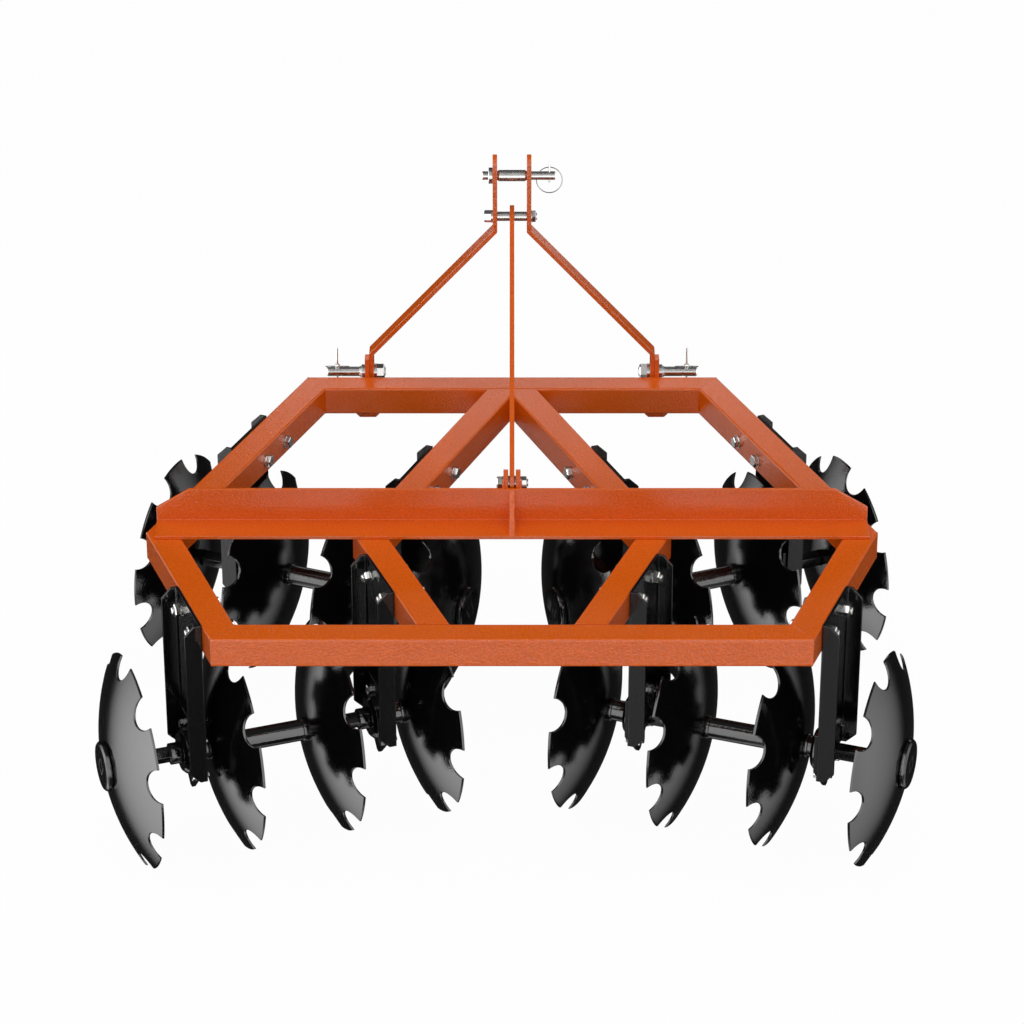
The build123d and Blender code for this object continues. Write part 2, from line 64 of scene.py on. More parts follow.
SHARP_ANGLE = math.radians(25)

TUBES = ["front_beam", "rear_beam"]
for side in ("left", "right"):
    for tube in ("outer_tube_front", "outer_tube_rear", "inner_tube_front", "inner_tube_rear"):
        TUBES.append(tube + "_" + side)


def linear(colour):
    """A hex colour as the linear values that shaders take."""
    parts = [int(colour[start : start + 2], 16) / 255 for start in (1, 3, 5)]
    toned = [part / 12.92 if part <= 0.04045 else ((part + 0.055) / 1.055) ** 2.4 for part in parts]
    return (*toned, 1.0)


def add_node(tree, kind, inputs=None, **settings):
    """A node with its settings, and its sockets set to a value or linked to another node's socket."""
    node = tree.nodes.new(kind)
    for name, value in settings.items():
        setattr(node, name, value)
    for socket, value in (inputs or {}).items():
        if isinstance(value, bpy.types.NodeSocket):
            tree.links.new(value, node.inputs[socket])
        else:
            node.inputs[socket].default_value = value
    return node


def new_material(name):
    """An empty node material and its tree."""
    material = bpy.data.materials.new(name)
    material.use_nodes = True
    material.node_tree.nodes.clear()
    return material, material.node_tree


def powder_coat():
    """Orange polyester powder: a smooth glossy skin, dimpled where the powder flowed together."""
    # Real dimples are 2 to 3 mm apart, one pixel in the render, so they are drawn a bit wider
    dimple = 4.4 * MM
    dimple_depth = 0.9 * MM
    cloud = 90.0 * MM
    material, tree = new_material("orange_powder_coat")
    place = add_node(tree, "ShaderNodeTexCoord").outputs["Object"]
    peel = add_node(
        tree,
        "ShaderNodeTexNoise",
        {"Vector": place, "Scale": 1 / dimple, "Detail": 2.0, "Roughness": 0.6},
    )
    film = add_node(tree, "ShaderNodeTexNoise", {"Vector": place, "Scale": 1 / cloud, "Detail": 2.0})
    colour = add_node(
        tree,
        "ShaderNodeMix",
        {"Factor": film.outputs["Fac"], "A": linear("#d25a0b"), "B": linear("#cb550a")},
        data_type="RGBA",
    )
    # Painted shade: the base colour is darker in the dimples and lighter on the crests, where the
    # crests catch more light than the dimples
    shade = add_node(
        tree,
        "ShaderNodeMapRange",
        {"Value": peel.outputs["Fac"], "To Min": 0.65, "To Max": 1.35},
    )
    painted_peel_shade = add_node(
        tree,
        "ShaderNodeHueSaturation",
        {"Value": shade.outputs["Result"], "Color": colour.outputs["Result"]},
    )
    gloss = add_node(
        tree,
        "ShaderNodeMapRange",
        {"Value": peel.outputs["Fac"], "To Min": 0.06, "To Max": 0.11},
    )
    bump = add_node(
        tree,
        "ShaderNodeBump",
        {"Height": peel.outputs["Fac"], "Strength": 1.0, "Distance": dimple_depth},
    )
    shader = add_node(
        tree,
        "ShaderNodeBsdfPrincipled",
        {
            "Base Color": painted_peel_shade.outputs["Color"],
            "Roughness": gloss.outputs["Result"],
            "Normal": bump.outputs["Normal"],
        },
    )
    add_node(tree, "ShaderNodeOutputMaterial", {"Surface": shader.outputs["BSDF"]})
    return material


def join_mesh(name, shape, material):
    """A finished mesh object with smooth faces from a bmesh."""
    mesh = bpy.data.meshes.new(name)
    shape.to_mesh(mesh)
    shape.free()
    mesh.materials.append(material)
    mesh.shade_smooth()
    piece = bpy.data.objects.new(name, mesh)
    bpy.context.scene.collection.objects.link(piece)
    return piece


def finish_piece(piece, body, slot, *nodes):
    """Says what the piece rides on and which solids it stands for; the slot it is given is not used.
    """
    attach(piece, body)
    if nodes:
        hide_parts(*nodes)
    return piece


def merged_copy(node, hull):
    """A solid's mesh with its loose triangles joined into flat faces, or the hull of it."""
    shape = bmesh.new()
    shape.from_mesh(frame["nodes"][node].data)
    bmesh.ops.remove_doubles(shape, verts=shape.verts, dist=MERGE_DISTANCE)
    if hull:
        made = bmesh.ops.convex_hull(shape, input=shape.verts, use_existing_faces=False)
        kept = {face for face in made["geom"] if isinstance(face, bmesh.types.BMFace)}
        spare = [face for face in shape.faces if face not in kept]
        bmesh.ops.delete(shape, geom=spare, context="FACES")
        loose = [vert for vert in shape.verts if not vert.link_faces]
        bmesh.ops.delete(shape, geom=loose, context="VERTS")
    bmesh.ops.dissolve_limit(shape, angle_limit=FLAT_ANGLE, verts=shape.verts, edges=shape.edges)
    return shape


def round_edges(piece, corner, fine=None, long_edge=0.0, turned=False):
    """A bevel of the corner radius on long sharp edges and of the fine radius on the others."""
    fine = corner if fine is None else fine
    shape = bmesh.new()
    shape.from_mesh(piece.data)
    weights = []
    for edge in shape.edges:
        sharp = edge.is_manifold and edge.calc_face_angle() > SHARP_ANGLE
        weight = 1.0 if edge.calc_length() > long_edge else fine / corner
        weights.append(weight if sharp else 0.0)
    shape.free()
    layer = piece.data.attributes.new("bevel_weight_edge", "FLOAT", "EDGE")
    layer.data.foreach_set("value", weights)
    bevel = piece.modifiers.new("rounded edges", "BEVEL")
    bevel.limit_method = "WEIGHT"
    bevel.width = corner
    bevel.segments = ROUNDING_STEPS
    bevel.use_clamp_overlap = False
    bevel.harden_normals = turned
    if not turned:
        # The flat faces alone set the normals, so that only the bevels look round
        flats = piece.modifiers.new("flat faces", "WEIGHTED_NORMAL")
        flats.weight = 100


def rounded_copy(node, material, slot, corner, fine=None, long_edge=0.0, hull=False):
    """The dressed piece that replaces a node of the frame: the same form with rounded edges."""
    piece = join_mesh(node + "_finished", merged_copy(node, hull), material)
    round_edges(piece, corner, fine, long_edge)
    return finish_piece(piece, "frame", slot, node)


ORANGE = powder_coat()
for tube in TUBES:
    rounded_copy(tube, ORANGE, "orange_powder_coat", TUBE_CORNER, MITRE_EDGE, LONG_EDGE, hull=True)


# Cross angle, its gusset and the ears for the brace: 80 mm rolled angle and 10 mm flat.
# Rolled edges are slightly rounded, and cut plate edges are dressed before coating.
ROLLED_EDGE = 1.2 * MM
CUT_EDGE = 0.8 * MM

rounded_copy("cross_angle", ORANGE, "orange_powder_coat", ROLLED_EDGE)
rounded_copy("centre_gusset", ORANGE, "orange_powder_coat", CUT_EDGE)
rounded_copy("brace_lugs", ORANGE, "orange_powder_coat", CUT_EDGE)


# Mast: two 40 by 10 mm flat bars bent cold near their top and foot, and the brace on edge.
# Flat bar comes with slightly rounded edges.
for node in ("mast_bar_left", "mast_bar_right", "mast_brace"):
    rounded_copy(node, ORANGE, "orange_powder_coat", ROLLED_EDGE)


# Hitch lugs: flame-cut plate, each an ear welded to a backing plate on the front beam and
# bored for the lower pin, whose nut also clamps the foot of a mast bar.
rounded_copy("hitch_lugs", ORANGE, "orange_powder_coat", CUT_EDGE)


# Welds: short fillets of rippled bead where the lugs, the ears and the gusset stand on their plates,
# laid before the powder coat, which softens them.
BEAD_RADIUS = 3.0 * MM
BEAD_RIPPLE = 3.2 * MM
BEAD_SIDES = 10
RIPPLE_STEPS = 4
RIPPLE_DEPTH = 0.12
END_TAPER = 0.7
END_SHARPNESS = 12
# How far the beads stop short of their plates' ends
SHORT_INSET = 3.0 * MM
LONG_INSET = 6.0 * MM
TOP_INSET = 12.0 * MM
LUG_BACKING_WIDTH = 52.0 * MM
X, Y, Z = range(3)


def middle_of(node, axis):
    """The middle of a node's box along one axis."""
    low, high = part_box(node)
    return (low[axis] + high[axis]) / 2


def skin(shape, rings, closed=False):
    """Adds the faces from each ring of points to the next, where a ring of one point is a pole."""
    for first, second in zip(rings, rings[1:] + (rings[:1] if closed else [])):
        for step in range(max(len(first), len(second))):
            after = step + 1
            corners = [first[step % len(first)], first[after % len(first)]]
            corners += [second[after % len(second)], second[step % len(second)]]
            shape.faces.new(list(dict.fromkeys(corners)))


def weld_bead(shape, start, end):
    """A closed bead along a corner, thinner at its two ends and rippled along its run."""
    run = Vector(end) - Vector(start)
    turn = run.to_track_quat("Z", "Y").to_matrix()
    count = round(run.length / BEAD_RIPPLE) * RIPPLE_STEPS
    rings = []
    for step in range(count + 1):
        share = step / count
        ripple = 1 - RIPPLE_DEPTH * abs(math.sin(math.pi * step / RIPPLE_STEPS))
        taper = 1 - END_TAPER * abs(2 * share - 1) ** END_SHARPNESS
        radius = BEAD_RADIUS * ripple * taper
        middle = Vector(start) + run * share
        ring = []
        for side in range(BEAD_SIDES):
            angle = 2 * math.pi * side / BEAD_SIDES
            out = Vector((radius * math.cos(angle), radius * math.sin(angle), 0))
            ring.append(shape.verts.new(middle + turn @ out))
        rings.append(ring)
    skin(shape, rings)
    shape.faces.new(rings[0][::-1])
    shape.faces.new(rings[-1])


MIDDLE_X = middle_of("front_beam", X)
beam_low, beam_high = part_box("front_beam")
lug_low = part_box("hitch_lugs")[0]
ear_low, ear_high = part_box("brace_lugs")
gusset_low, gusset_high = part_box("centre_gusset")
beads = bmesh.new()
for side in (-1, 1):
    # The brace's ears on the angle, outside
    x = MIDDLE_X + side * (ear_high[X] - ear_low[X]) / 2
    y = ear_low[Y]
    weld_bead(beads, (x, y, ear_low[Z] + SHORT_INSET), (x, y, ear_high[Z] - SHORT_INSET))
    # The gusset on the angle's flat leg
    x = MIDDLE_X + side * (gusset_high[X] - gusset_low[X]) / 2
    z = gusset_low[Z]
    weld_bead(beads, (x, gusset_low[Y] + LONG_INSET, z), (x, gusset_high[Y] - SHORT_INSET, z))
    # The backing plates on the front beam
    y = beam_high[Y]
    for edge in (lug_low[X], lug_low[X] + LUG_BACKING_WIDTH):
        x = MIDDLE_X + side * (MIDDLE_X - edge)
        weld_bead(beads, (x, y, beam_low[Z] + LONG_INSET), (x, y, beam_high[Z] - TOP_INSET))
bmesh.ops.recalc_face_normals(beads, faces=beads.faces)
finish_piece(join_mesh("weld_beads", beads, ORANGE), "frame", "orange_powder_coat")


# Pins and bolts: turned and forged steel with bright zinc plating. The lower pins have a shoulder
# and a nut at their lugs, and the top pin and the mast bolt carry sleeves between the mast bars.
def zinc_plate(name, bright, dull):
    """Zinc on steel between two tones: a soft mirror, clouded where the plating took unevenly."""
    patch = 12.0 * MM
    material, tree = new_material(name)
    place = add_node(tree, "ShaderNodeTexCoord").outputs["Object"]
    cloud = add_node(
        tree,
        "ShaderNodeTexNoise",
        {"Vector": place, "Scale": 1 / patch, "Detail": 3.0},
    )
    colour = add_node(
        tree,
        "ShaderNodeMix",
        {"Factor": cloud.outputs["Fac"], "A": linear(bright), "B": linear(dull)},
        data_type="RGBA",
    )
    gloss = add_node(
        tree,
        "ShaderNodeMapRange",
        {"Value": cloud.outputs["Fac"], "To Min": 0.14, "To Max": 0.26},
    )
    bump = add_node(
        tree,
        "ShaderNodeBump",
        {"Height": cloud.outputs["Fac"], "Strength": 0.1, "Distance": 0.2 * MM},
    )
    shader = add_node(
        tree,
        "ShaderNodeBsdfPrincipled",
        {
            "Base Color": colour.outputs["Result"],
            "Metallic": 1.0,
            "Roughness": gloss.outputs["Result"],
            "Normal": bump.outputs["Normal"],
        },
    )
    add_node(tree, "ShaderNodeOutputMaterial", {"Surface": shader.outputs["BSDF"]})
    return material


ZINC = zinc_plate("zinc_plated_steel", "#c4c3c0", "#b0afae")
HITCH_Y = middle_of("lower_pin_left", Y)
LOWER_PIN_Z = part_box("outer_tube_rear_left")[1][Z]
TOP_PIN_Z = middle_of("top_link_pin", Z)
MAST_BOLT_Z = middle_of("mast_bolt", Z)
BOLT_EDGE = 0.6 * MM
TURNED_STEPS = 48
# Each turned piece as (distance from the middle, radius), in millimetres
LOWER_PIN = [
    (301.5, 0), (301.5, 11), (333.5, 11), (333.5, 16), (334, 16.5), (341, 16.5), (341.5, 16),
    (341.5, 12.6), (344.5, 12.6), (345.2, 11.9), (346.4, 11.9), (347.1, 11), (387.4, 11),
    (388, 10.2), (389.6, 10.2), (390.2, 11), (418.2, 11), (421, 8.4), (421, 0),
]
TOP_PIN = [
    (-66, 0), (-66, 8.3), (-64.8, 9.5), (-52, 9.5), (-52, 17.2), (-51.2, 18), (-43.8, 18),
    (-43, 17.2), (-43, 9.5), (94.6, 9.5), (96, 8.1), (96, 0),
]
TOP_SLEEVE = [(-32.8, 9.6), (-32.8, 10), (-28.5, 12.7), (28.5, 12.7), (32.8, 10), (32.8, 9.6)]
MAST_BOLT = [(-46, 0), (-46, 8), (55, 8), (56, 7), (56, 0)]
MAST_SLEEVE = [(5.2, 8.1), (5.2, 10.2), (5.6, 10.5), (32.4, 10.5), (32.8, 10.2), (32.8, 8.1)]


def turn_profile(shape, profile, y, z, side=1):
    """Adds a lathe-turned piece about a line along X, its profile given from the machine's middle."""
    rings = []
    for distance, radius in profile:
        x = MIDDLE_X + side * distance * MM
        if radius == 0:
            rings.append([shape.verts.new((x, y, z))])
            continue
        ring = []
        for step in range(TURNED_STEPS):
            angle = 2 * math.pi * step / TURNED_STEPS
            spot = (x, y + radius * MM * math.cos(angle), z + radius * MM * math.sin(angle))
            ring.append(shape.verts.new(spot))
        rings.append(ring)
    # A sleeve's profile has no pole and closes on itself
    skin(shape, rings, closed=len(rings[0]) > 1)


def smooth_piece(name, shape, material):
    """A piece with outward faces, smooth but for its sharp corners."""
    bmesh.ops.recalc_face_normals(shape, faces=shape.faces)
    piece = join_mesh(name, shape, material)
    piece.data.set_sharp_from_angle(angle=SHARP_ANGLE)
    return piece


for side, name in ((-1, "left"), (1, "right")):
    shape = bmesh.new()
    turn_profile(shape, LOWER_PIN, HITCH_Y, LOWER_PIN_Z, side)
    piece = smooth_piece("lower_pin_" + name + "_plated", shape, ZINC)
    finish_piece(piece, "frame", "zinc_plate", "lower_pin_" + name)

shape = bmesh.new()
turn_profile(shape, TOP_PIN, HITCH_Y, TOP_PIN_Z)
turn_profile(shape, TOP_SLEEVE, HITCH_Y, TOP_PIN_Z)
finish_piece(smooth_piece("top_link_pin_plated", shape, ZINC), "frame", "zinc_plate", "top_link_pin")

shape = bmesh.new()
turn_profile(shape, MAST_BOLT, HITCH_Y, MAST_BOLT_Z)
turn_profile(shape, MAST_SLEEVE, HITCH_Y, MAST_BOLT_Z)
turn_profile(shape, MAST_SLEEVE, HITCH_Y, MAST_BOLT_Z, -1)
finish_piece(smooth_piece("mast_bolt_plated", shape, ZINC), "frame", "zinc_plate", "mast_bolt")
rounded_copy("brace_bolt", ZINC, "zinc_plate", BOLT_EDGE)


# Lynch pins: a forged pin through each hitch pin's cross hole, with a ring of spring wire in its eye,
# all zinc plated. The ring snaps over the hitch pin's end.
SPRING_WIRE = zinc_plate("zinc_plated_spring_wire", "#7c7b79", "#6a6968")
RING_WIRE = 1.1 * MM
RING_STEPS = 96
WIRE_STEPS = 12
SHANK_RADIUS = 2.1 * MM
SHANK_CHAMFER = 1.0 * MM
SHANK_POINT = 5.0 * MM
# The shank's radius at its bottom end, at its nose and at its tip, as shares of its full radius
BOTTOM_SHARE = 0.8
NOSE_SHARE = 0.6
TIP_SHARE = 0.2
EYE_STEPS = 8
EYE_HALF_HEIGHT = 6.0 * MM
EYE_RADIUS = 6.2 * MM
# Each pin's distance from the middle, and heights above the middle of the hitch pin that it crosses
LOWER_LYNCH_X = 397.0 * MM
TOP_LYNCH_X = 83.0 * MM
SHANK_BOTTOM = -16.0 * MM
SHANK_TOP = 61.0 * MM
EYE_HEIGHT = 14.0 * MM
TOP_SHANK = [(SHANK_BOTTOM, SHANK_RADIUS), (22 * MM, SHANK_RADIUS), (33 * MM, 0.8 * MM)]
# The rings as they hang: the lower ones lie back from the eye, and the top one droops forwards
LOWER_RING_RISE = 12.2 * MM
LOWER_RING_RADIUS = 26.0 * MM
LOWER_RING_TILT = math.radians(-66)
TOP_RING_FORWARD = 13.0 * MM
TOP_RING_DROP = 16.0 * MM
TOP_RING_RADIUS = 28.5 * MM
TOP_RING_TILT = math.radians(14)


def wire_ring(shape, centre, radius, tilt):
    """A ring of round wire whose axis leans up from straight back by the tilt."""
    turn = Matrix.Rotation(-tilt, 3, "X")
    loops = []
    for step in range(RING_STEPS):
        angle = 2 * math.pi * step / RING_STEPS
        out = Vector((math.cos(angle), 0, math.sin(angle)))
        loop = []
        for corner in range(WIRE_STEPS):
            swing = 2 * math.pi * corner / WIRE_STEPS
            aside = Vector((0, RING_WIRE * math.sin(swing), 0))
            offset = out * (radius + RING_WIRE * math.cos(swing)) + aside
            loop.append(shape.verts.new(Vector(centre) + turn @ offset))
        loops.append(loop)
    skin(shape, loops, closed=True)


def lathe(shape, profile, place):
    """Adds a turned shape of (height, radius) points that stands upright on a place."""
    rings = []
    for height, radius in profile:
        ring = []
        for step in range(WIRE_STEPS * 2):
            angle = math.pi * step / WIRE_STEPS
            spot = Vector((radius * math.cos(angle), radius * math.sin(angle), height))
            ring.append(shape.verts.new(Vector(place) + spot))
        rings.append(ring)
    skin(shape, rings)
    shape.faces.new(rings[0][::-1])
    shape.faces.new(rings[-1])


def lynch_shank():
    """Profile of a lower lynch pin's shank, with the swelling for its eye and a pointed top end."""
    radius = SHANK_RADIUS
    profile = [(SHANK_BOTTOM, radius * BOTTOM_SHARE), (SHANK_BOTTOM + SHANK_CHAMFER, radius)]
    for step in range(EYE_STEPS + 1):
        angle = math.pi * (step / EYE_STEPS - 0.5)
        height = EYE_HEIGHT + EYE_HALF_HEIGHT * math.sin(angle)
        profile.append((height, max(radius, EYE_RADIUS * math.cos(angle))))
    profile.append((SHANK_TOP - SHANK_POINT, radius))
    profile.append((SHANK_TOP - SHANK_CHAMFER, radius * NOSE_SHARE))
    profile.append((SHANK_TOP, radius * TIP_SHARE))
    return profile


shanks = bmesh.new()
rings = bmesh.new()
for side in (-1, 1):
    x = MIDDLE_X + side * LOWER_LYNCH_X
    lathe(shanks, lynch_shank(), (x, HITCH_Y, LOWER_PIN_Z))
    centre = (x, HITCH_Y, LOWER_PIN_Z + LOWER_RING_RISE)
    wire_ring(rings, centre, LOWER_RING_RADIUS, LOWER_RING_TILT)
x = MIDDLE_X + TOP_LYNCH_X
lathe(shanks, TOP_SHANK, (x, HITCH_Y, TOP_PIN_Z))
centre = (x, HITCH_Y + TOP_RING_FORWARD, TOP_PIN_Z - TOP_RING_DROP)
wire_ring(rings, centre, TOP_RING_RADIUS, TOP_RING_TILT)
finish_piece(smooth_piece("lynch_pin_shanks", shanks, ZINC), "frame", "zinc_plate")
finish_piece(smooth_piece("lynch_pin_rings", rings, SPRING_WIRE), "frame", "zinc_plate")


# Bolts and nuts: hexagon heads and nuts on flat washers, cold forged and zinc plated.
# Each standard hangs on two M16 bolts through its tube, and each bearing on four M10 bolts.
HEXAGON_SIDES = 6
WASHER_STEPS = 32
THREAD_STEPS = 20
THREAD_PITCH = 2.0 * MM
# The crown's share of a hexagon's height, which is also how much narrower its top is, and the
# radius of a thread's root as a share of its crest's
CROWN_SHARE = 0.16
THREAD_ROOT_SHARE = 0.84


def hexagon_fasteners():
    """The node tree that stands a hexagon on its washer, with its thread end, on each point."""
    tree = bpy.data.node_groups.new("hexagon_fasteners", "GeometryNodeTree")
    tree.interface.new_socket("Points", in_out="INPUT", socket_type="NodeSocketGeometry")
    for name in (
        "Corner Radius",
        "Crown Radius",
        "Body Height",
        "Crown Height",
        "Crown Start",
        "Washer Radius",
        "Washer Thickness",
        "Thread Radius",
        "Thread Root",
        "Thread Start",
    ):
        tree.interface.new_socket(name, in_out="INPUT", socket_type="NodeSocketFloat")
    for name in ("Thread Turns", "Seed"):
        tree.interface.new_socket(name, in_out="INPUT", socket_type="NodeSocketInt")
    tree.interface.new_socket("Plating", in_out="INPUT", socket_type="NodeSocketMaterial")
    tree.interface.new_socket("Geometry", in_out="OUTPUT", socket_type="NodeSocketGeometry")
    sizes = add_node(tree, "NodeGroupInput").outputs

    def tapered(steps, bottom, top, depth, raised):
        """A prism or cone frustum that stands at a height."""
        cone = {"Vertices": steps, "Radius Bottom": bottom, "Radius Top": top, "Depth": depth}
        made = add_node(tree, "GeometryNodeMeshCone", cone)
        height = add_node(tree, "ShaderNodeCombineXYZ", {"Z": raised})
        lift = {"Geometry": made.outputs["Mesh"], "Translation": height.outputs["Vector"]}
        return add_node(tree, "GeometryNodeTransform", lift).outputs["Geometry"]

    rim, seat = sizes["Washer Radius"], sizes["Washer Thickness"]
    corner, top = sizes["Corner Radius"], sizes["Crown Radius"]
    crest, root = sizes["Thread Radius"], sizes["Thread Root"]
    washer = tapered(WASHER_STEPS, rim, rim, seat, 0.0)
    body = tapered(HEXAGON_SIDES, corner, corner, sizes["Body Height"], seat)
    crown = tapered(HEXAGON_SIDES, corner, top, sizes["Crown Height"], sizes["Crown Start"])
    rising = tapered(THREAD_STEPS, root, crest, THREAD_PITCH / 2, 0.0)
    falling = tapered(THREAD_STEPS, crest, root, THREAD_PITCH / 2, THREAD_PITCH / 2)
    one_turn = add_node(tree, "GeometryNodeJoinGeometry", {"Geometry": rising})
    tree.links.new(falling, one_turn.inputs["Geometry"])
    first_turn = add_node(tree, "ShaderNodeCombineXYZ", {"Z": sizes["Thread Start"]})
    turns = add_node(
        tree,
        "GeometryNodeMeshLine",
        {
            "Count": sizes["Thread Turns"],
            "Start Location": first_turn.outputs["Vector"],
            "Offset": (0.0, 0.0, THREAD_PITCH),
        },
    )
    threads = add_node(
        tree,
        "GeometryNodeInstanceOnPoints",
        {"Points": turns.outputs["Mesh"], "Instance": one_turn.outputs["Geometry"]},
    )
    whole = add_node(tree, "GeometryNodeJoinGeometry", {"Geometry": washer})
    for part in (body, crown, threads.outputs["Instances"]):
        tree.links.new(part, whole.inputs["Geometry"])
    towards = add_node(
        tree,
        "GeometryNodeInputNamedAttribute",
        {"Name": "direction"},
        data_type="FLOAT_VECTOR",
    )
    upright = add_node(
        tree,
        "FunctionNodeAlignRotationToVector",
        {"Vector": towards.outputs["Attribute"]},
        axis="Z",
    )
    # The float limits of Random Value are its third and fourth sockets, and its seed is the ninth
    spin = add_node(
        tree,
        "FunctionNodeRandomValue",
        {2: 0.0, 3: math.pi / 3, 8: sizes["Seed"]},
        data_type="FLOAT",
    )
    tightened = add_node(
        tree,
        "FunctionNodeAxisAngleToRotation",
        {"Axis": (0.0, 0.0, 1.0), "Angle": spin.outputs[1]},
    )
    turned = add_node(
        tree,
        "FunctionNodeRotateRotation",
        {"Rotation": upright.outputs["Rotation"], "Rotate By": tightened.outputs["Rotation"]},
        rotation_space="LOCAL",
    )
    placed = add_node(
        tree,
        "GeometryNodeInstanceOnPoints",
        {
            "Points": sizes["Points"],
            "Instance": whole.outputs["Geometry"],
            "Rotation": turned.outputs["Rotation"],
        },
    )
    solid = add_node(tree, "GeometryNodeRealizeInstances", {"Geometry": placed.outputs["Instances"]})
    plated = add_node(
        tree,
        "GeometryNodeSetMaterial",
        {"Geometry": solid.outputs["Geometry"], "Material": sizes["Plating"]},
    )
    add_node(tree, "NodeGroupOutput", {"Geometry": plated.outputs["Geometry"]})
    return tree


def fasten(name, spots, sizes):
    """One piece with a head or nut at each (place, direction), from the fastener tree."""
    mesh = bpy.data.meshes.new(name)
    mesh.from_pydata([place for place, _ in spots], [], [])
    layer = mesh.attributes.new("direction", "FLOAT_VECTOR", "POINT")
    layer.data.foreach_set("vector", [part for _, direction in spots for part in direction])
    piece = bpy.data.objects.new(name, mesh)
    bpy.context.scene.collection.objects.link(piece)
    modifier = piece.modifiers.new("fasteners", "NODES")
    modifier.node_group = FASTENERS
    sockets = {socket.name: socket.identifier for socket in FASTENERS.interface.items_tree}
    for size, value in sizes.items():
        modifier[sockets[size]] = value
    modifier[sockets["Plating"]] = ZINC
    made = bpy.data.meshes.new_from_object(piece.evaluated_get(bpy.context.evaluated_depsgraph_get()))
    piece.modifiers.remove(modifier)
    piece.data = made
    made.shade_smooth()
    made.set_sharp_from_angle(angle=SHARP_ANGLE)
    return finish_piece(piece, "frame", "zinc_plate")


def hexagon(across_flats, height, washer_radius, washer, thread_radius=0, turns=0, seed=1):
    """The tree's inputs for one kind of fastener, from its sizes in millimetres."""
    corner = across_flats / math.sqrt(3)
    body = height * (1 - CROWN_SHARE)
    sizes = {
        "Corner Radius": corner,
        "Crown Radius": corner * (1 - CROWN_SHARE),
        "Body Height": body,
        "Crown Height": height - body,
        "Crown Start": washer + body,
        "Washer Radius": washer_radius,
        "Washer Thickness": washer,
        "Thread Radius": thread_radius,
        "Thread Root": thread_radius * THREAD_ROOT_SHARE,
        "Thread Start": washer + height,
    }
    metres = {name: size * MM for name, size in sizes.items()}
    return {**metres, "Thread Turns": turns, "Seed": seed}


def gang_matrix(name):
    """A gang's own frame: X inwards along the axle from its first standard, Y forwards, Z up."""
    joint = next(joint for joint in frame["joints"] if joint["child"] == "gang_" + name)
    up = Vector((0, 0, 1))
    axis = Vector(joint["axis"])
    inwards = -axis if name.endswith("right") else axis
    matrix = Matrix((inwards, up.cross(axis), up)).transposed().to_4x4()
    matrix.translation = Vector(joint["pos_m"])
    return matrix


FASTENERS = hexagon_fasteners()
GANG_NAMES = ("front_left", "front_right", "rear_left", "rear_right")
TUBE_SIZE = 63.5 * MM
TUBE_SPACING = 433.0 * MM
STANDARD_PLATE = 6.0 * MM
SHIELD_PLATE = 8.0 * MM
STANDARD_BOLT_Y = 50.0 * MM
STANDARD_BOLT_Z = 305.0 * MM
BEARING_BOLTS = [(-42 * MM, 42 * MM), (42 * MM, 42 * MM), (-40 * MM, -38 * MM), (40 * MM, -38 * MM)]


def web_places(name):
    """How far along the axle a gang's two standards are."""
    angle = math.atan2(abs(gang_matrix(name)[1][0]), abs(gang_matrix(name)[0][0]))
    return (0.0, TUBE_SPACING * math.cos(angle))


def fastener_spots(name, x, spots, way):
    """Places on both standards of a gang at an axle distance from the web, pointing in or out."""
    matrix = gang_matrix(name)
    direction = (matrix.to_3x3() @ Vector((way, 0, 0))).normalized()
    places = [(web + x, y, z) for web in web_places(name) for y, z in spots]
    return [(tuple(matrix @ Vector(place)), tuple(direction)) for place in places]


heads, nuts, small_heads, small_nuts = [], [], [], []
for name in GANG_NAMES:
    through = [(-STANDARD_BOLT_Y, STANDARD_BOLT_Z), (STANDARD_BOLT_Y, STANDARD_BOLT_Z)]
    heads += fastener_spots(name, TUBE_SIZE, through, 1)
    nuts += fastener_spots(name, -STANDARD_PLATE, through, -1)
    if name.endswith("left"):
        small_heads += fastener_spots(name, -STANDARD_PLATE - SHIELD_PLATE, BEARING_BOLTS, -1)
        small_nuts += fastener_spots(name, 0.0, BEARING_BOLTS, 1)
    else:
        small_heads += fastener_spots(name, SHIELD_PLATE, BEARING_BOLTS, 1)
        small_nuts += fastener_spots(name, -STANDARD_PLATE, BEARING_BOLTS, -1)
# In millimetres: across flats, height, washer radius, washer thickness, thread radius; then turns
fasten("standard_bolt_heads", heads, hexagon(24, 10, 15, 3, seed=3))
fasten("standard_bolt_nuts", nuts, hexagon(24, 12, 14, 2.5, 8, 3, seed=5))
fasten("bearing_bolt_heads", small_heads, hexagon(17, 7, 10, 1.5, seed=7))
fasten("bearing_bolt_nuts", small_nuts, hexagon(17, 8, 10, 1.5, 5, 3, seed=9))

# Seats of the frame's own bolts: the mast bolt outside the bars, the brace bolt outside its ears,
# and the lower pins' nuts inside the bars
MAST_BOLT_SEAT = 43.0 * MM
BRACE_BOLT_SEAT = 18.0 * MM
LOWER_NUT_SEAT = 313.5 * MM
BRACE_Y = middle_of("brace_bolt", Y)
BRACE_Z = middle_of("brace_bolt", Z)
LEFT, RIGHT = (-1.0, 0.0, 0.0), (1.0, 0.0, 0.0)
mast_head = [((MIDDLE_X - MAST_BOLT_SEAT, HITCH_Y, MAST_BOLT_Z), LEFT)]
mast_nut = [((MIDDLE_X + MAST_BOLT_SEAT, HITCH_Y, MAST_BOLT_Z), RIGHT)]
brace_head = [((MIDDLE_X - BRACE_BOLT_SEAT, BRACE_Y, BRACE_Z), LEFT)]
brace_nut = [((MIDDLE_X + BRACE_BOLT_SEAT, BRACE_Y, BRACE_Z), RIGHT)]
